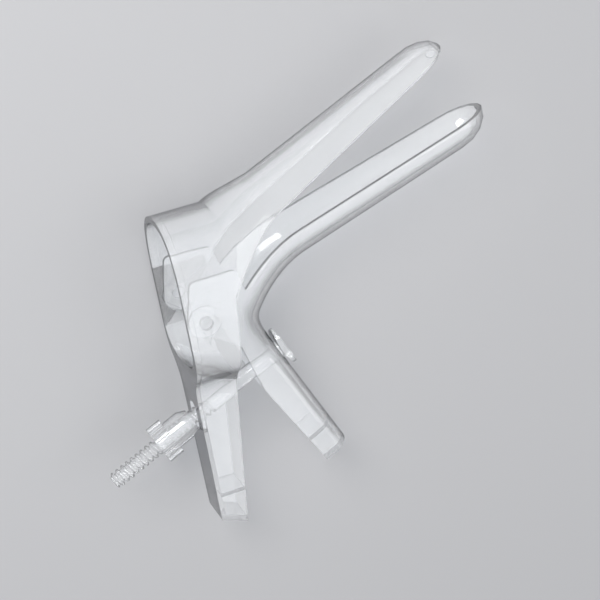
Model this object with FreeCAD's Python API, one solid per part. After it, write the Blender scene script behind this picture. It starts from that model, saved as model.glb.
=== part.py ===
"""Disposable bivalve speculum in clear plastic, medium size, held open by a screw and a nut.

Four mouldings: the lower valve with its ears, pins and front handle, the upper valve with its
mouth, arms and rear handle, the screw, and the nut. It lies on its side. X runs forward along
the lower blade, Y runs from the lower blade to the upper one, and Z is up, across the width.
The origin is on the pivot axis, on the outer face of the arm that the speculum lies on.
"""
import FreeCAD, Part
import math
import os

os.makedirs("parts", exist_ok=True)
Vec = FreeCAD.Vector

# The pivot, and how far the blades stand open at rest
rest_opening = 12.5         # degrees from closed
pin_radius = 2.45
pin_clearance = 0.05
pin_sunk = 0.25             # the pin ends this far below the arm's outer face
ramp_length = 9.0           # a shallow groove inside each arm leads the pin up to its hole
ramp_depth = 0.7
pin_boss_radius = 6.5
pin_boss_height = 2.8       # from the ear's outer face inwards, into the scoop's wall

# Walls and running clearances
wall = 2.0
side_clearance = 0.3        # between each arm and the ear inside it
rim_gap = 0.35              # between the two rims when the blades are closed

# The blades, closed into one tube
blade_axis = 9.5            # height of the parting plane above the pivot
blade_start = 50.0
blade_tip = 138.5
nose_length = 15.0
blade_half_width = 13.2
tip_half_width = 10.6
upper_rise = 15.1
upper_tip_rise = 8.3
lower_drop = 13.0
lower_tip_drop = 11.4
round_fullness = 0.5523     # a Bezier arch with this pull is an ellipse

# The mouth, in the plane of its rear edge, which leans forward at the top
mouth_tilt = 28.5           # degrees from upright
mouth_back = 7.6            # from the pivot back to the rear plane
mouth_top = 38.6            # from the pivot up the rear plane to the top
mouth_centre = 12.0         # where the arch becomes the straight arms
mouth_half_width = 21.0
mouth_fullness = 0.68
mouth_length = 13.5         # straight part of the mouth, ahead of the pivot
rim_band = 3.0              # the thickened band round the rear edge
rim_lip = 0.6              # how much it narrows the mouth
crotch_rear = 21.7          # bottom of the mouth below the pivot, at the rear edge
crotch_front = 30.6         # and at the front edge of the arms
arm_depth = 12.5            # from the pivot forward to the arm's front edge
arm_taper = 0.1075          # loss of depth for each mm down the handle
corner_up = 6.5             # up the arm's front edge to the corner where the rim starts

# How the rim curves from that corner to the blade, as shares of the way along and up
rim_bend_ahead = 0.3
rim_bend_up = 0.65
rim_flat_ahead = 0.65       # from here on it runs level with the blade's rim

# The rear handle
shoulder_top = 13.0         # below the pivot: the arms start to close in
shoulder_foot = 36.0        # and have become the handle
handle_half_width = 10.2
handle_end_half_width = 8.4
rear_handle_end = 88.3
end_slope = 0.36            # how much lower the end face is at its open side, per mm of depth
end_cap = 11.0              # a cross rib this far above the end
rib = 1.6                   # thickness of that rib

# The lower valve: a scoop that turns down into the front handle
scoop_radius = 41.5         # of the underside, round a centre below the blade's start
scoop_turn = 40.0           # degrees that the underside turns before the handle
scoop_depth = 22.0
scoop_crown = 16.0          # the part of that depth that its rounded back takes up
front_lean = 8.0            # degrees that the front handle's web leans forward
front_web = 16.9            # from the pivot forward to the web's outer face, along its normal
bend_down = 19.0            # down the web from the pivot, to the corner that the bend rounds off
neck_down = 26.0            # and to where the scoop has met the web
handle_down = 44.0          # and to where it has become the straight handle
front_handle_end = 86.0
front_handle_half_width = 9.6
front_handle_depth = 14.6
front_end_depth = 12.0
front_web_crown = 7.0       # the part of the depth that the web's rounded back takes up
ear_back = 6.4              # behind the pivot when closed, inside the mouth's rear plane
ear_high = 15.4             # up that plane to the ear's rear corner
ear_low = 2.0               # and below the pivot to where the ear's rear edge turns in
ear_front = 19.5
ear_front_height = 11.3
ear_round = 2.5
neck_back = 8.2             # the scoop's rear edge below the ears stays ahead of the crotch
neck_top = 20.0
ear_step = 0.5              # the ears' bosses stand this far out of the scoop
scoop_fullness = 0.6
handle_fullness = 0.6

# The screw and its slots
screw_down = 38.0           # below the pivot, down the front web
screw_radius = 3.35
screw_length = 86.0
head_length = 17.0
head_width = 12.5
head_thickness = 2.9
rock_radius = 24.0          # the head's underside is curved, so that it can rock on the web
seat_gap = 0.3
slot_clearance = 0.5
slot_width = 2 * (screw_radius + slot_clearance)
slot_reach = 8.0            # how far each slot cuts to both sides of its web
front_slot = 10.5
rear_slot = 13.0

# The nut
nut_bore_clearance = 0.1
nut_flange_radius = 8.0
nut_flange = 6.4
nut_hub_radius = 6.0
nut_hub = 6.7
nut_nose_radius = 4.4
nut_nose = 3.6
nut_grips = 12
nut_grip_width = 2.0
nut_grip_depth = 1.2
nut_stand = 43.8            # from the head's seat to the tip of the nut's nose, at rest

# How many strips the curved walls are built up from
funnel_strips = 7
blade_strips = 6
nose_strips = 4
nose_closing = 80.0         # degrees round the nose at which it ends in a small flat
arc_strips = 9
neck_strips = 10
crotch_strips = 4

far = 200.0                 # past everything, for cutting
tilt = math.radians(mouth_tilt)
lean = math.radians(front_lean)
ear_half_width = mouth_half_width - wall - rim_lip - side_clearance
ear_top = mouth_top / 2     # the scoop's sections reach past the ears
UP = Vec(0, 0, 1)


def mix(a, b, u):
    """The value a share u of the way from a to b."""
    return a + (b - a) * u


def ease(u):
    """A share that leaves 0 and reaches 1 without a bend."""
    return u * u * (3 - 2 * u)


def shares(count):
    """The shares from 0 to 1 that mark off that many equal strips."""
    return [k / count for k in range(count + 1)]


def along(up, ahead, side=0):
    """A point of the upper valve, closed: up the rear plane, ahead of the pivot and across."""
    return Vec(
        up * math.sin(tilt) + ahead * math.cos(tilt),
        up * math.cos(tilt) - ahead * math.sin(tilt),
        side,
    )


def down_front(down, back, side=0):
    """A point of the front handle: down its web from the pivot, behind its outer face, across."""
    ahead = front_web - back
    return Vec(
        down * math.sin(lean) + ahead * math.cos(lean),
        -down * math.cos(lean) + ahead * math.sin(lean),
        side,
    )


def lines(points):
    """Straight edges through the points in order."""
    return [Part.makeLine(a, b) for a, b in zip(points, points[1:])]


def bezier(poles):
    """One Bezier edge."""
    curve = Part.BezierCurve()
    curve.setPoles(poles)
    return curve.toShape()


def arch(centre, out, rise, half_width, pull):
    """Half an oval across the part, from one side over the top, rise along out, to the other."""
    a, b = UP * half_width, out * rise
    return [
        bezier([centre - a, centre - a + b * pull, centre - a * pull + b, centre + b]),
        bezier([centre + b, centre + a * pull + b, centre + a + b * pull, centre + a]),
    ]


def swerve(start, end, way):
    """Two equal arcs that leave start along way and reach end along it."""
    step = end - start
    down = way * step.dot(way)
    aside = step - down
    radius = step.dot(step) / (4 * aside.Length)
    half_turn = math.atan(aside.Length / down.Length)
    inwards = aside * (radius * (1 - math.cos(half_turn)) / aside.Length)
    bow = way * (radius * math.sin(half_turn)) + inwards
    middle = (start + end) / 2
    return [
        Part.Arc(start, start + bow, middle).toShape(),
        Part.Arc(middle, end - bow, end).toShape(),
    ]


def trough(centre, out, rise, leg, half_width, pull):
    """A closed section: an arch with straight legs on its open side, or none."""
    edges = arch(centre, out, rise, half_width, pull)
    a, foot = UP * half_width, centre - out * leg
    closing = [centre + a, foot + a, foot - a, centre - a] if leg else [centre + a, centre - a]
    return Part.Wire(edges + lines(closing))


def strips(wires):
    """A solid made up of straight strips from each wire to the next."""
    return Part.makeLoft(wires, True, True)


def loft(stations, inset):
    """A solid through the trough sections, its walls moved in by inset."""
    return strips([
        trough(centre, out, rise - inset, leg, half - inset, pull)
        for centre, out, rise, leg, half, pull in stations
    ])


def shell(stations):
    """An open trough with an even wall."""
    return loft(stations, 0).cut(loft(stations, wall))


def nose(way, parting, drop, inset):
    """The rounded end of a blade: a quarter of an egg, in strips that close in towards the tip."""
    stations = []
    for u in shares(nose_strips):
        turn = math.radians(nose_closing) * u
        ahead = blade_tip - nose_length + (nose_length - inset) * math.sin(turn)
        stations.append((
            Vec(ahead, parting, 0), way, (drop - inset) * math.cos(turn), 0,
            (tip_half_width - inset) * math.cos(turn), round_fullness,
        ))
    return loft(stations, 0)


def blade(out, parting, drop, tip_drop):
    """A blade: a half tube that tapers to a rounded nose."""
    way = Vec(0, out, 0)
    stations = [
        (
            Vec(mix(blade_start, blade_tip - nose_length, u), parting, 0), way,
            mix(drop, tip_drop, u), 0, mix(blade_half_width, tip_half_width, u), round_fullness,
        )
        for u in shares(blade_strips)
    ]
    end = nose(way, parting, tip_drop, 0).cut(nose(way, parting, tip_drop, wall))
    return shell(stations).fuse(end)


def plate(edges, low, high):
    """A side outline, given as edges, carried across the part from low to high."""
    face = Part.Face(Part.Wire(Part.__sortEdges__(edges)))
    face.translate(UP * low)
    return face.extrude(UP * (high - low))


def slot(centre, axis, length_way, length, width):
    """A long hole with round ends, along axis through centre."""
    a = length_way * ((length - width) / 2)
    b = axis.cross(length_way) * (width / 2)
    bulge = length_way * (length / 2)
    edges = [
        Part.makeLine(centre - a + b, centre + a + b),
        Part.Arc(centre + a + b, centre + bulge, centre + a - b).toShape(),
        Part.makeLine(centre + a - b, centre - a - b),
        Part.Arc(centre - a - b, centre - bulge, centre - a + b).toShape(),
    ]
    face = Part.Face(Part.Wire(edges))
    face.translate(axis * -slot_reach)
    return face.extrude(axis * (2 * slot_reach))


def arm_front(up):
    """How far ahead of the pivot the arm's front edge is, up or down the rear plane."""
    return arm_depth + up * arm_taper


corner = along(corner_up, arm_front(corner_up))
start_point = Vec(blade_start, blade_axis, 0)


def rim(drop):
    """The curved edge where the closed valves meet, from the arm to the blade, lowered by drop."""
    down = Vec(0, -drop, 0)
    bend = Vec(mix(corner.x, start_point.x, rim_bend_ahead), mix(corner.y, start_point.y, rim_bend_up), 0)
    flat = Vec(mix(corner.x, start_point.x, rim_flat_ahead), start_point.y, 0)
    return bezier([corner + down, bend + down, flat + down, start_point + down])


def funnel_stations():
    """The sections of the upper valve between its mouth and its blade."""
    first = along(mouth_centre, mouth_length)
    stations = []
    for u in shares(funnel_strips):
        turn = tilt * (1 - u)
        stations.append((
            mix(first, start_point, u),
            Vec(math.sin(turn), math.cos(turn), 0),
            mix(mouth_top - mouth_centre, upper_rise, u),
            mix(mouth_centre, wall, u),
            mix(mouth_half_width, blade_half_width, ease(u)),
            mix(mouth_fullness, round_fullness, u),
        ))
    return stations


def rear_outline(ahead, inset, end):
    """The mouth, arms and handle seen from the rear, in the plane that lies ahead of the pivot."""
    top = arch(
        along(mouth_centre, ahead), along(1, 0), mouth_top - mouth_centre - inset,
        mouth_half_width - inset, mouth_fullness,
    )
    wide, narrow, tip = (w - inset for w in (mouth_half_width, handle_half_width, handle_end_half_width))
    edges = list(top)
    for side in (1, -1):
        def at(down, width):
            return along(-down, ahead, side * width)
        edges.append(Part.makeLine(at(-mouth_centre, wide), at(shoulder_top, wide)))
        edges += swerve(at(shoulder_top, wide), at(shoulder_foot, narrow), along(-1, 0))
        edges.append(Part.makeLine(at(shoulder_foot, narrow), at(end, tip)))
    edges.append(Part.makeLine(along(-end, ahead, tip), along(-end, ahead, -tip)))
    return Part.Wire(Part.__sortEdges__(edges))


def mouth_hole(grow, back, front):
    """The way through the mouth, which deepens towards the front. grow widens it all round."""
    wires = []
    straight = shoulder_top - wall
    half = mouth_half_width - wall + grow
    for u in shares(crotch_strips):
        ahead = mix(back, front, u)
        share = (ahead + mouth_back) / (arm_depth + mouth_back)
        bottom = mix(crotch_rear, crotch_front, share) + grow
        rise = mouth_top - mouth_centre - wall + grow
        edges = arch(along(mouth_centre, ahead), along(1, 0), rise, half, mouth_fullness)
        edges += arch(along(-straight, ahead), along(-1, 0), bottom - straight, half, mouth_fullness)
        for side in (half, -half):
            edges.append(Part.makeLine(along(mouth_centre, ahead, side), along(-straight, ahead, side)))
        wires.append(Part.Wire(Part.__sortEdges__(edges)))
    return strips(wires)


def screw_frame():
    """Where the screw's head sits on the front web, and the way the rod points from there."""
    return down_front(screw_down, 0), Vec(-math.cos(lean), -math.sin(lean), 0)


def rod_crossing():
    """The point of the closed upper valve where the rod passes through its web at rest."""
    seat, way = screw_frame()
    turn = math.radians(rest_opening)
    normal = Vec(math.cos(turn - tilt), math.sin(turn - tilt), 0)
    reach = (-mouth_back + wall / 2 - seat.dot(normal)) / way.dot(normal)
    point = seat + way * reach
    return Vec(
        point.x * math.cos(turn) + point.y * math.sin(turn),
        -point.x * math.sin(turn) + point.y * math.cos(turn),
        0,
    )


def build_upper_valve():
    """The upper blade, the mouth, the two arms and the rear handle, one moulding."""
    end = rear_handle_end
    end_front = end + end_slope * (arm_front(-end) + mouth_back)
    ahead = along(0, 1)
    hollow_front = mouth_length + wall

    # The mouth, the arms and the handle as one straight body, then hollowed
    body = strips([
        rear_outline(place, 0, end_front + wall) for place in (-mouth_back, mouth_length)
    ])
    hollow = strips([
        rear_outline(place, wall, end_front) for place in (wall - mouth_back, hollow_front)
    ])
    hollow = hollow.cut(mouth_hole(wall, -mouth_back - wall, hollow_front))
    side = lines([
        along(-end + wall, -far), along(-end + wall, -mouth_back),
        along(-end_front + wall, arm_front(-end_front)), along(-end_front, far),
        along(far, far), along(far, -far), along(-end + wall, -far),
    ])
    hollow = hollow.common(plate(side, -far, far))
    rib_down = end - end_cap
    cross_rib = lines([
        along(-rib_down, -far), along(-rib_down, far), along(-rib_down - rib, far),
        along(-rib_down - rib, -far), along(-rib_down, -far),
    ])
    body = body.cut(hollow.cut(plate(cross_rib, -far, far)))
    body = body.cut(mouth_hole(0, rim_band - mouth_back, mouth_length + wall))
    body = body.cut(mouth_hole(-rim_lip, -mouth_back - wall, mouth_length + wall))

    # The funnel, then both trimmed to the outline seen from the side
    body = body.fuse(shell(funnel_stations()))
    side = [rim(0)] + lines([
        start_point, Vec(far, blade_axis, 0), Vec(far, far, 0), along(far, -mouth_back),
        along(-end, -mouth_back), along(-end_front, arm_front(-end_front)), corner,
    ])
    body = body.common(plate(side, -far, far))
    body = body.fuse(blade(1, blade_axis, upper_rise, upper_tip_rise))
    pivot = Part.makeCylinder(pin_radius + pin_clearance, 2 * far, UP * -far, UP)
    ramp = lines([
        along(0, -pin_radius), along(0, pin_radius), along(-ramp_length, 0), along(0, -pin_radius),
    ])
    ramp_floor = mouth_half_width - wall + ramp_depth
    body = body.cut(plate(ramp, -ramp_floor, ramp_floor))
    web = slot(rod_crossing(), ahead, along(1, 0), rear_slot, slot_width)
    return body.cut(pivot).cut(web)


def scoop_stations():
    """The sections of the lower valve from its blade down to the straight handle."""
    parting = blade_axis - rim_gap
    turn_centre = Vec(blade_start, parting - lower_drop - scoop_radius, 0)
    side = ear_half_width - ear_step

    def out(degrees):
        turn = math.radians(degrees)
        return Vec(math.sin(turn), -math.cos(turn), 0)

    def station(under, way, rise, leg, half_width, pull):
        return under - way * rise, way, rise, leg, half_width, pull

    # Round the arc under the blade's root
    stations = []
    for u in shares(arc_strips):
        way = out(scoop_turn * u)
        stations.append(station(
            turn_centre - way * scoop_radius, way,
            mix(lower_drop, scoop_crown, u),
            mix(wall, ear_top, ease(u)) + (scoop_depth - scoop_crown) * u,
            mix(blade_half_width, side, ease(u)),
            mix(round_fullness, scoop_fullness, u),
        ))

    # Round the tight bend at the neck and down the web
    bend = Part.BezierCurve()
    under = turn_centre - out(scoop_turn) * scoop_radius
    bend.setPoles([under, down_front(bend_down, 0), down_front(neck_down, 0), down_front(handle_down, 0)])
    for u in shares(neck_strips)[1:]:
        stations.append(station(
            bend.value(u),
            out(mix(scoop_turn, 90 + front_lean, u)),
            mix(scoop_crown, front_web_crown, u),
            mix(ear_top + scoop_depth - scoop_crown, front_handle_depth - front_web_crown, u),
            mix(side, front_handle_half_width, ease(u)),
            mix(scoop_fullness, handle_fullness, u),
        ))
    return stations


def front_handle(inset):
    """The straight front handle as a solid, its walls moved in by inset."""
    out = Vec(math.cos(lean), math.sin(lean), 0)
    return loft([
        (
            down_front(down, front_web_crown), out, front_web_crown,
            front_handle_depth - front_web_crown, front_handle_half_width, handle_fullness,
        )
        for down in (handle_down, front_handle_end)
    ], inset)


def cross_wall(solid, point, way, thick):
    """The slice of a solid that fills a wall across it, from point on along way."""
    angle = math.degrees(math.atan2(way.y, way.x))
    box = Part.makeBox(thick, 2 * far, 2 * far, Vec(0, -far, -far))
    box.rotate(Vec(0, 0, 0), UP, angle)
    box.translate(point)
    return solid.common(box)


def build_lower_valve():
    """The lower blade, the scoop with its ears and pins, and the front handle, one moulding."""
    parting = blade_axis - rim_gap
    neck = down_front(handle_down, front_handle_depth)
    neck_high = Vec(neck_back, -neck_top, 0)
    drop = Vec(0, -rim_gap, 0)

    # The scoop, trimmed by its rim, its ears and its neck as seen from the side
    below = [rim(rim_gap)] + lines([
        start_point + drop, Vec(far, parting, 0), Vec(far, -far, 0), Vec(neck.x, -far, 0),
        neck, neck_high, corner + drop,
    ])
    ear = plate(lines([
        Vec(ear_front, ear_front_height, 0), along(ear_high, -ear_back), along(-ear_low, -ear_back),
        neck_high, Vec(ear_front, -neck_top, 0), Vec(ear_front, ear_front_height, 0),
    ]), -far, far)
    upright = [e for e in ear.Edges if e.BoundBox.ZLength > far]
    ear = ear.makeFillet(ear_round, [e for e in upright if e.CenterOfMass.y > -neck_top / 2])
    scoop = shell(scoop_stations())
    scoop = scoop.common(plate(below, -far, far).fuse(ear))

    # The handle with its end and its cross rib, its open side cut to the taper
    open_side = plate(lines([
        neck, down_front(front_handle_end, front_end_depth), down_front(front_handle_end, -far),
        down_front(handle_down, -far), neck,
    ]), -far, far)
    whole = front_handle(0).common(open_side)
    handle = whole.cut(front_handle(wall))
    up = down_front(0, 0) - down_front(1, 0)
    for down, thick in ((front_handle_end, wall), (front_handle_end - end_cap, rib)):
        handle = handle.fuse(cross_wall(whole, down_front(down, 0), up, thick))

    solid = scoop.fuse([handle, blade(-1, parting, lower_drop, lower_tip_drop)])
    for side in (1, -1):
        inner = ear_half_width - pin_boss_height
        way = UP * side
        boss = Part.makeCylinder(pin_boss_radius, pin_boss_height, way * inner, way)
        pin = Part.makeCylinder(pin_radius, mouth_half_width - pin_sunk - inner, way * inner, way)
        solid = solid.fuse([boss, pin])
    out = Vec(math.cos(lean), math.sin(lean), 0)
    return solid.cut(slot(down_front(screw_down, 0), out, up, front_slot, slot_width))


def build_lock_screw():
    """The screw: an oval head with a curved underside, and a long rod."""
    seat, way = screw_frame()
    oval = Part.Ellipse(Vec(0, 0, 0), head_length / 2, head_width / 2).toShape()
    head = Part.Face(Part.Wire(oval)).extrude(UP * head_thickness)
    head.rotate(Vec(0, 0, 0), Vec(0, 1, 0), 90)
    head.rotate(Vec(0, 0, 0), Vec(1, 0, 0), 90)
    head.rotate(Vec(0, 0, 0), UP, front_lean)
    head.translate(seat)
    rock = Part.makeCylinder(rock_radius - seat_gap, 2 * far, seat - way * rock_radius - UP * far, UP)
    head = head.common(rock)
    rod = Part.makeCylinder(screw_radius, screw_length - wall, seat - way * (head_thickness - wall), way)
    return head.fuse(rod)


def build_lock_nut():
    """The nut: a grooved flange to turn, a round hub, and a tapered nose that bears on the web."""
    bore = screw_radius + nut_bore_clearance
    hub_start = nut_nose
    flange_start = hub_start + nut_hub
    end = flange_start + nut_flange
    outline = [
        Vec(0, bore, 0), Vec(0, nut_nose_radius, 0), Vec(hub_start, nut_hub_radius, 0),
        Vec(flange_start, nut_hub_radius, 0), Vec(flange_start, nut_flange_radius, 0),
        Vec(end, nut_flange_radius, 0), Vec(end, bore, 0), Vec(0, bore, 0),
    ]
    nut = Part.Face(Part.Wire(lines(outline))).revolve(Vec(0, 0, 0), Vec(1, 0, 0), 360)
    for k in range(nut_grips):
        corner_of_notch = Vec(flange_start, -nut_grip_width / 2, nut_flange_radius - nut_grip_depth)
        notch = Part.makeBox(nut_flange, nut_grip_width, 2 * nut_grip_depth, corner_of_notch)
        notch.rotate(Vec(0, 0, 0), Vec(1, 0, 0), 360 * k / nut_grips)
        nut = nut.cut(notch)
    seat, way = screw_frame()
    nut.rotate(Vec(0, 0, 0), UP, 180 + front_lean)
    nut.translate(seat + way * nut_stand)
    return nut


def save(solid, name, turn=0):
    """Turn a piece about the pivot, lay the speculum on its side, and write the piece."""
    solid = solid.copy()
    solid.rotate(Vec(0, 0, 0), UP, turn)
    solid.translate(UP * mouth_half_width)
    solid.exportStep(f"parts/{name}.step")
    print(name, solid.isValid(), len(solid.Solids), round(solid.Volume), solid.BoundBox)


save(build_upper_valve(), "upper_valve", rest_opening)
save(build_lower_valve(), "lower_valve")
save(build_lock_screw(), "lock_screw")
save(build_lock_nut(), "lock_nut")
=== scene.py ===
"""Looks for a disposable bivalve speculum: four clear mouldings lying on their side on a pale table."""
import math

import bmesh
import bpy
from mathutils import Matrix, Vector


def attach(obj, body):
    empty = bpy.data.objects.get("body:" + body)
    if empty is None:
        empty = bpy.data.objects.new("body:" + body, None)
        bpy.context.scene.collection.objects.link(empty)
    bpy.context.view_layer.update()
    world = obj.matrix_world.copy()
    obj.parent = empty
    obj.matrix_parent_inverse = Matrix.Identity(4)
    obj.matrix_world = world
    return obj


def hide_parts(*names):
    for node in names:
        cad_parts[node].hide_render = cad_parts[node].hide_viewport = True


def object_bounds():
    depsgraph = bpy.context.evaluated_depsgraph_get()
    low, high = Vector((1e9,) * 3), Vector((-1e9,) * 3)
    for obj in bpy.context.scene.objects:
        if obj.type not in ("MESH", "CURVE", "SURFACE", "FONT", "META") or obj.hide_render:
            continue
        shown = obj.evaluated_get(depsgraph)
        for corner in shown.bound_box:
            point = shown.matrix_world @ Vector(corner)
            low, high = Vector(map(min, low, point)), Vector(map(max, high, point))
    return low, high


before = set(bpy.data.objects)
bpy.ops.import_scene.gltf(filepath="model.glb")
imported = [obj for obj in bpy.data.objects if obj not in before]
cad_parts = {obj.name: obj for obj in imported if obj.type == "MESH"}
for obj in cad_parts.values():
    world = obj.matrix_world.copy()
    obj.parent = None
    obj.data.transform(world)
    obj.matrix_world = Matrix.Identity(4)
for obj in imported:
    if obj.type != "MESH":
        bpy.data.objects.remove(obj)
cad_low, cad_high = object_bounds()

# Lower valve. One hollow moulding of clear polystyrene: the lower blade, the scoop with its two
# ears and pivot pins, and the front handle, which is open at the back and closed by a rib and an
# end wall. It comes out of the mould glossy, with faint flow lines and softened edges.
POLYSTYRENE_IOR = 1.57
CLEAR_TINT = (0.96, 0.965, 0.97)
# Painted shade: the near-black that a wall's colour is mixed towards where the wall turns away from the
# eye.
PAINTED_EDGE_SHADE = (0.04, 0.04, 0.045)
VALVE_HAZE, VALVE_FLOW = 0.19, 60
FLOW_DETAIL, FLOW_SWIRL = 3, 0.6
POLISHED, DULLED = 0.02, 0.08            # roughness where the melt ran smooth, and where it slowed
RIPPLE, RIPPLE_HEIGHT = 0.2, 0.0003
PAINTED_SHADE_FROM, PAINTED_SHADE_FULL = 0.38, 0.86        # how far a wall turns from the eye before its colour is painted dark, as painted shade at its edge
LET_THROUGH = (0.8, 0.81, 0.82, 1)       # what two walls let through of a lamp
VALVE_SOFT_EDGE = 0.00035
SHARP_ANGLE = math.radians(24)
FLAT_ANGLE = math.radians(0.4)
FLAT_SHARE = 100                         # weight of large faces in the shading
WELD = 0.000003


def clear_plastic(name, haze, tint, painted_shade_tint, flow_scale):
    """A glossy clear moulding: a little haze, slow ripples from the way the melt flowed, and painted
    shade that darkens its colour where a wall turns from the eye.
    """
    material = bpy.data.materials.new(name)
    material.use_nodes = True
    nodes, links = material.node_tree.nodes, material.node_tree.links
    shader = nodes["Principled BSDF"]
    shader.inputs["IOR"].default_value = POLYSTYRENE_IOR
    shader.inputs["Transmission Weight"].default_value = 1 - haze
    place = nodes.new("ShaderNodeTexCoord")
    flow = nodes.new("ShaderNodeTexNoise")
    flow.inputs["Scale"].default_value = flow_scale
    flow.inputs["Detail"].default_value = FLOW_DETAIL
    flow.inputs["Distortion"].default_value = FLOW_SWIRL
    links.new(place.outputs["Object"], flow.inputs["Vector"])
    # Painted shade: the base colour runs from the clear tint to near-black where a wall faces away from
    # the eye, standing in for the dark edges of clear plastic.
    edge = nodes.new("ShaderNodeLayerWeight")
    edge.inputs["Blend"].default_value = 0.5
    painted_edge_mask = nodes.new("ShaderNodeMapRange")
    painted_edge_mask.interpolation_type = "SMOOTHSTEP"
    painted_edge_mask.inputs["From Min"].default_value = PAINTED_SHADE_FROM
    painted_edge_mask.inputs["From Max"].default_value = PAINTED_SHADE_FULL
    links.new(edge.outputs["Facing"], painted_edge_mask.inputs["Value"])
    painted_edge_mix = nodes.new("ShaderNodeMix")
    painted_edge_mix.data_type = "RGBA"
    painted_edge_mix.inputs["A"].default_value = (*tint, 1)
    painted_edge_mix.inputs["B"].default_value = (*painted_shade_tint, 1)
    links.new(painted_edge_mask.outputs["Result"], painted_edge_mix.inputs["Factor"])
    links.new(painted_edge_mix.outputs["Result"], shader.inputs["Base Color"])
    gloss = nodes.new("ShaderNodeMapRange")
    gloss.inputs["To Min"].default_value = POLISHED
    gloss.inputs["To Max"].default_value = DULLED
    links.new(flow.outputs["Fac"], gloss.inputs["Value"])
    links.new(gloss.outputs["Result"], shader.inputs["Roughness"])
    ripple = nodes.new("ShaderNodeBump")
    ripple.inputs["Strength"].default_value = RIPPLE
    ripple.inputs["Distance"].default_value = RIPPLE_HEIGHT
    links.new(flow.outputs["Fac"], ripple.inputs["Height"])
    links.new(ripple.outputs["Normal"], shader.inputs["Normal"])
    lamp_ray = nodes.new("ShaderNodeLightPath")
    clear = nodes.new("ShaderNodeBsdfTransparent")
    clear.inputs["Color"].default_value = LET_THROUGH
    choose = nodes.new("ShaderNodeMixShader")
    links.new(lamp_ray.outputs["Is Shadow Ray"], choose.inputs["Fac"])
    links.new(shader.outputs["BSDF"], choose.inputs[1])
    links.new(clear.outputs["BSDF"], choose.inputs[2])
    links.new(choose.outputs["Shader"], nodes["Material Output"].inputs["Surface"])
    return material


def moulding(node, name, material, soft_edge):
    """The moulded skin of one piece: its CAD surface in one sheet, with its sharp edges rounded."""
    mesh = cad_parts[node].data.copy()
    mesh.name = name
    mesh.materials.clear()
    mesh.materials.append(material)
    skin = bmesh.new()
    skin.from_mesh(mesh)
    bmesh.ops.remove_doubles(skin, verts=skin.verts, dist=WELD)
    bmesh.ops.dissolve_limit(skin, angle_limit=FLAT_ANGLE, verts=skin.verts, edges=skin.edges)
    sharp = [edge for edge in skin.edges if edge.calc_face_angle(0) > SHARP_ANGLE]
    bmesh.ops.bevel(
        skin, geom=sharp, offset=soft_edge, segments=2, profile=0.5, affect="EDGES", clamp_overlap=True
    )
    for face in skin.faces:
        face.smooth = True
    skin.to_mesh(mesh)
    skin.free()
    piece = bpy.data.objects.new(name, mesh)
    bpy.context.scene.collection.objects.link(piece)
    weighted = piece.modifiers.new("flat_faces_stay_flat", "WEIGHTED_NORMAL")
    weighted.mode = "FACE_AREA_WITH_ANGLE"
    weighted.weight = FLAT_SHARE
    return piece


polystyrene = clear_plastic("clear_polystyrene_with_painted_edge_shade", VALVE_HAZE, CLEAR_TINT, PAINTED_EDGE_SHADE, VALVE_FLOW)
lower_skin = moulding("lower_valve", "lower_valve_skin", polystyrene, VALVE_SOFT_EDGE)
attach(lower_skin, "lower_valve")
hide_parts("lower_valve")

# Upper valve. The second hollow moulding of the same clear polystyrene: the upper blade, the wide
# mouth, the two arms that snap over the pins, and the rear handle. A low oval gate mark is left
# on the shoulder of the blade near its tip.
upper_skin = moulding("upper_valve", "upper_valve_skin", polystyrene, VALVE_SOFT_EDGE)
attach(upper_skin, "upper_valve")
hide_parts("upper_valve")

GATE_SEEN = Vector((0.1276, 0.0371, 0.021))
GATE_SIDE = Vector((-0.143, 0.439, 0.887)).normalized()
GATE_LONG, GATE_WIDE, GATE_PROUD, GATE_SUNK = 0.0021, 0.0014, 0.0003, 0.0006
GATE_SIDES = 32
GATE_RAY = 0.1
GATE_RINGS = [                           # share of its width, and height, from its foot to its top
    (1, -GATE_SUNK), (1, GATE_PROUD * 0.5), (0.93, GATE_PROUD * 0.85), (0.8, GATE_PROUD)
]


def gate_mark(name, on_skin, material):
    """The low oval left where the melt came in, set on the shoulder of the blade near its tip."""
    _, spot, outward, _ = on_skin.ray_cast(GATE_SEEN + GATE_SIDE * GATE_RAY, -GATE_SIDE)
    along = (Vector((1, 0, 0)) - outward * outward.x).normalized()
    across = outward.cross(along)
    mark = bmesh.new()
    loops = []
    for share, height in GATE_RINGS:
        loops.append([
            mark.verts.new(
                spot + outward * height
                + along * (GATE_LONG * share * math.cos(math.tau * step / GATE_SIDES))
                + across * (GATE_WIDE * share * math.sin(math.tau * step / GATE_SIDES))
            )
            for step in range(GATE_SIDES)
        ])
    for lower, upper in zip(loops, loops[1:]):
        for step in range(GATE_SIDES):
            after = (step + 1) % GATE_SIDES
            mark.faces.new((lower[step], lower[after], upper[after], upper[step]))
    mark.faces.new(loops[0][::-1])
    mark.faces.new(loops[-1])
    bmesh.ops.recalc_face_normals(mark, faces=mark.faces)
    for face in mark.faces:
        face.smooth = len(face.verts) == 4
    mesh = bpy.data.meshes.new(name)
    mark.to_mesh(mesh)
    mark.free()
    mesh.materials.append(material)
    piece = bpy.data.objects.new(name, mesh)
    bpy.context.scene.collection.objects.link(piece)
    return piece


gate = gate_mark("upper_valve_gate_mark", upper_skin, polystyrene)
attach(gate, "upper_valve")

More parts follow.
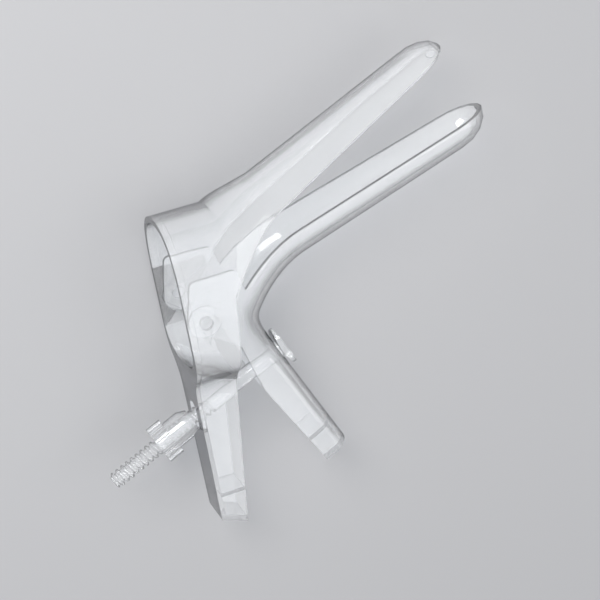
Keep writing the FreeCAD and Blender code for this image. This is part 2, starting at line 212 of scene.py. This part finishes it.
# Lock screw. A clear moulded rod with an oval head that rocks on the web of the front handle. The
# far part of the rod has a coarse rounded thread, cut off along two flats where the mould parts.
SMALL_TINT = (0.95, 0.955, 0.96)
# Painted shade: the near-black that the screw and nut colour is mixed towards where a wall turns away
# from the eye.
SMALL_PAINTED_EDGE_SHADE = (0.05, 0.05, 0.055)
SMALL_HAZE, SMALL_FLOW = 0.16, 90
HEAD_SOFT_EDGE = 0.0005
screw_plastic = clear_plastic("clear_screw_with_painted_edge_shade", SMALL_HAZE, SMALL_TINT, SMALL_PAINTED_EDGE_SHADE, SMALL_FLOW)
HEAD_SEAT = Vector((0.022024108, -0.035278161, 0.021))
ROD_LEAN = math.radians(188)
ROD_WAY = Vector((math.cos(ROD_LEAN), math.sin(ROD_LEAN), 0))
RIDGE_FOOT, RIDGE_TOP = 0.1, 0.38        # where the ridge rises, in turns from the groove
CREASE_ANGLE = math.radians(50)
HEAD_CUT = 0.0012
ROD_START = 0.0022
ROD_END = 0.0831
ROD_SIZES = {
    "Length": ROD_END - ROD_START,
    "Shank radius": 0.0032,
    "Crest radius": 0.00335,
    "Root radius": 0.0023,
    "Pitch": 0.0024,
    "Thread start": 0.0315,
    "Flat": 0.0030,
    "Rows": 410,
    "Sides": 48,
    "Place": HEAD_SEAT + ROD_WAY * ROD_START,
    "Turn": (0, 0, ROD_LEAN),
}
SOCKET_KINDS = {int: "NodeSocketInt", float: "NodeSocketFloat", tuple: "NodeSocketVector"}


def threaded_rod(name, sizes, material):
    """The rod's mesh by a rule: a sheet rolled up, whose radius follows the thread along it."""
    tree = bpy.data.node_groups.new("thread_along_rod", "GeometryNodeTree")
    nodes, links = tree.nodes, tree.links
    for size, value in sizes.items():
        tree.interface.new_socket(
            size, in_out="INPUT", socket_type=SOCKET_KINDS.get(type(value), "NodeSocketVector")
        )
    tree.interface.new_socket("Material", in_out="INPUT", socket_type="NodeSocketMaterial")
    tree.interface.new_socket("Rod", in_out="OUTPUT", socket_type="NodeSocketGeometry")
    given = nodes.new("NodeGroupInput").outputs

    def reckon(operation, *terms):
        """One step of arithmetic on sockets and plain numbers."""
        step = nodes.new("ShaderNodeMath")
        step.operation = operation
        for socket, term in zip(step.inputs, terms):
            if isinstance(term, (int, float)):
                socket.default_value = term
            else:
                links.new(term, socket)
        return step.outputs[0]

    def eased(value, start, end):
        """0 before start, 1 past end, and an even curve between them."""
        step = nodes.new("ShaderNodeMapRange")
        step.interpolation_type = "SMOOTHSTEP"
        for socket, term in (("Value", value), ("From Min", start), ("From Max", end)):
            if isinstance(term, (int, float)):
                step.inputs[socket].default_value = term
            else:
                links.new(term, step.inputs[socket])
        return step.outputs["Result"]

    sheet = nodes.new("GeometryNodeMeshGrid")
    links.new(given["Length"], sheet.inputs["Size X"])
    sheet.inputs["Size Y"].default_value = math.tau
    links.new(given["Rows"], sheet.inputs["Vertices X"])
    links.new(reckon("ADD", given["Sides"], 1), sheet.inputs["Vertices Y"])
    point = nodes.new("ShaderNodeSeparateXYZ")
    links.new(nodes.new("GeometryNodeInputPosition").outputs["Position"], point.inputs["Vector"])
    along = reckon("ADD", point.outputs["X"], reckon("MULTIPLY", given["Length"], 0.5))
    around = point.outputs["Y"]
    turned = reckon("DIVIDE", around, math.tau)
    turns = reckon("SUBTRACT", reckon("DIVIDE", along, given["Pitch"]), turned)
    ridge = eased(reckon("PINGPONG", turns, 0.5), RIDGE_FOOT, RIDGE_TOP)
    depth = reckon("SUBTRACT", given["Crest radius"], given["Root radius"])
    thread = reckon("ADD", given["Root radius"], reckon("MULTIPLY", depth, ridge))
    run_in = eased(along, given["Thread start"], reckon("ADD", given["Thread start"], given["Pitch"]))
    change = reckon("MULTIPLY", reckon("SUBTRACT", thread, given["Shank radius"]), run_in)
    round_radius = reckon("ADD", given["Shank radius"], change)
    flat_radius = reckon("DIVIDE", given["Flat"], reckon("ABSOLUTE", reckon("COSINE", around)))
    to_end = reckon("SUBTRACT", given["Length"], along)
    end_radius = reckon("ADD", given["Root radius"], to_end)
    radius = reckon("MINIMUM", reckon("MINIMUM", round_radius, flat_radius), end_radius)
    row = reckon("DIVIDE", given["Length"], reckon("SUBTRACT", given["Rows"], 1))
    before_end = reckon("GREATER_THAN", to_end, reckon("MULTIPLY", row, 0.5))
    radius = reckon("MULTIPLY", radius, before_end)
    place = nodes.new("ShaderNodeCombineXYZ")
    links.new(reckon("MINIMUM", along, reckon("SUBTRACT", given["Length"], row)), place.inputs["X"])
    links.new(reckon("MULTIPLY", radius, reckon("COSINE", around)), place.inputs["Y"])
    links.new(reckon("MULTIPLY", radius, reckon("SINE", around)), place.inputs["Z"])
    roll = nodes.new("GeometryNodeSetPosition")
    links.new(sheet.outputs["Mesh"], roll.inputs["Geometry"])
    links.new(place.outputs["Vector"], roll.inputs["Position"])
    weld = nodes.new("GeometryNodeMergeByDistance")
    weld.inputs["Distance"].default_value = WELD
    links.new(roll.outputs["Geometry"], weld.inputs["Geometry"])
    lay = nodes.new("GeometryNodeTransform")
    links.new(weld.outputs["Geometry"], lay.inputs["Geometry"])
    links.new(given["Place"], lay.inputs["Translation"])
    links.new(given["Turn"], lay.inputs["Rotation"])
    whole = nodes.new("GeometryNodeRealizeInstances")
    links.new(lay.outputs["Geometry"], whole.inputs["Geometry"])
    finish = nodes.new("GeometryNodeSetMaterial")
    links.new(whole.outputs["Geometry"], finish.inputs["Geometry"])
    links.new(given["Material"], finish.inputs["Material"])
    links.new(finish.outputs["Geometry"], nodes.new("NodeGroupOutput").inputs["Rod"])

    maker = bpy.data.objects.new(name + "_maker", bpy.data.meshes.new(name + "_maker"))
    bpy.context.scene.collection.objects.link(maker)
    rule = maker.modifiers.new("thread", "NODES")
    rule.node_group = tree
    for item in tree.interface.items_tree:
        if item.in_out == "INPUT":
            rule[item.identifier] = material if item.name == "Material" else sizes[item.name]
    graph = bpy.context.evaluated_depsgraph_get()
    mesh = bpy.data.meshes.new_from_object(maker.evaluated_get(graph))
    maker.modifiers.remove(rule)
    bpy.data.objects.remove(maker)
    return mesh


screw_skin = moulding("lock_screw", "lock_screw_skin", screw_plastic, HEAD_SOFT_EDGE)
screw = bmesh.new()
screw.from_mesh(screw_skin.data)
bmesh.ops.bisect_plane(
    screw, geom=[*screw.verts, *screw.edges, *screw.faces], dist=WELD,
    plane_co=HEAD_SEAT + ROD_WAY * HEAD_CUT, plane_no=ROD_WAY, clear_outer=True,
)
screw.from_mesh(threaded_rod("lock_screw_rod", ROD_SIZES, screw_plastic))
open_ends = [edge for edge in screw.edges if edge.is_boundary]
bmesh.ops.bridge_loops(screw, edges=open_ends)
bmesh.ops.recalc_face_normals(screw, faces=screw.faces)
for face in screw.faces:
    face.smooth = True
screw.to_mesh(screw_skin.data)
screw.free()
screw_skin.data.set_sharp_from_angle(angle=CREASE_ANGLE)
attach(screw_skin, "lock_screw")
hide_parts("lock_screw")

# Lock nut. A moulded nut of the same kind of plastic, with a fluted flange for the fingers, a
# round hub, and a tapered nose that bears on the rear handle.
NUT_SOFT_EDGE = 0.0003
nut_plastic = clear_plastic("clear_nut_with_painted_edge_shade", SMALL_HAZE, SMALL_TINT, SMALL_PAINTED_EDGE_SHADE, SMALL_FLOW)
nut_skin = moulding("lock_nut", "lock_nut_skin", nut_plastic, NUT_SOFT_EDGE)
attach(nut_skin, "lock_nut")
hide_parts("lock_nut")

# The table, the lamps and the camera. A pale matt table under two soft lamps, seen from above the
# side of the speculum that lies upwards.
TABLE_COLOUR = (0.56, 0.56, 0.57, 1)
TABLE_ROUGHNESS, TABLE_SHINE = 0.9, 0.1
table_mesh = bpy.data.meshes.new("pale_table")
reach = 4
table_mesh.from_pydata(
    [(-reach, -reach, 0), (reach, -reach, 0), (reach, reach, 0), (-reach, reach, 0)],
    [], [(0, 1, 2, 3)],
)
table = bpy.data.objects.new("pale_table", table_mesh)
bpy.context.scene.collection.objects.link(table)
table_paint = bpy.data.materials.new("pale_table_paint")
table_paint.use_nodes = True
table_shader = table_paint.node_tree.nodes["Principled BSDF"]
table_shader.inputs["Base Color"].default_value = TABLE_COLOUR
table_shader.inputs["Roughness"].default_value = TABLE_ROUGHNESS
table_shader.inputs["Specular IOR Level"].default_value = TABLE_SHINE
table_mesh.materials.append(table_paint)

middle = (cad_low + cad_high) / 2


def lamp(name, place, size, watts):
    """A square soft lamp that looks at the middle of the object."""
    light = bpy.data.lights.new(name, "AREA")
    light.size = size
    light.energy = watts
    lamp_object = bpy.data.objects.new(name, light)
    bpy.context.scene.collection.objects.link(lamp_object)
    lamp_object.location = middle + Vector(place)
    lamp_object.rotation_euler = (-Vector(place)).to_track_quat("-Z", "Y").to_euler()


lamp("key_lamp", (-0.2, 0.6, 0.55), 0.35, 3.6)
lamp("fill_lamp", (0.5, -0.2, 0.6), 0.5, 0.8)

ROOM_LOW, ROOM_HIGH = (0.1, 0.1, 0.105, 1), (0.85, 0.86, 0.88, 1)
ROOM_RISE = (0.02, 0.75)
BACKDROP = (0.8, 0.8, 0.81, 1)
ROOM_STRENGTH = 0.88
world = bpy.data.worlds.new("soft_room")
bpy.context.scene.world = world
world.use_nodes = True
world_nodes, world_links = world.node_tree.nodes, world.node_tree.links
way_out = world_nodes.new("ShaderNodeTexCoord")
height = world_nodes.new("ShaderNodeSeparateXYZ")
room = world_nodes.new("ShaderNodeValToRGB")
for stop, position, colour in zip(room.color_ramp.elements, ROOM_RISE, (ROOM_LOW, ROOM_HIGH)):
    stop.position = position
    stop.color = colour
world_links.new(way_out.outputs["Generated"], height.inputs["Vector"])
world_links.new(height.outputs["Z"], room.inputs["Fac"])
seen_ray = world_nodes.new("ShaderNodeLightPath")
backdrop = world_nodes.new("ShaderNodeMix")
backdrop.data_type = "RGBA"
backdrop.inputs["B"].default_value = BACKDROP
world_links.new(seen_ray.outputs["Is Camera Ray"], backdrop.inputs["Factor"])
world_links.new(room.outputs["Color"], backdrop.inputs["A"])
world_links.new(backdrop.outputs["Result"], world_nodes["Background"].inputs["Color"])
world_nodes["Background"].inputs["Strength"].default_value = ROOM_STRENGTH

TOWARDS_CAMERA = Vector((-0.143, 0.439, 0.887)).normalized()
IMAGE_UP = Vector((0.523, 0.794, -0.309))
CAMERA_DISTANCE, CAMERA_LENS = 0.72, 110
camera_data = bpy.data.cameras.new("camera")
camera_data.lens = CAMERA_LENS
camera = bpy.data.objects.new("camera", camera_data)
bpy.context.scene.collection.objects.link(camera)
image_right = IMAGE_UP.cross(TOWARDS_CAMERA).normalized()
image_up = TOWARDS_CAMERA.cross(image_right)
turn = Matrix((image_right, image_up, TOWARDS_CAMERA)).transposed()
camera.matrix_world = Matrix.Translation(middle + TOWARDS_CAMERA * CAMERA_DISTANCE) @ turn.to_4x4()
bpy.context.scene.camera = camera
bpy.context.scene.view_settings.view_transform = "Standard"
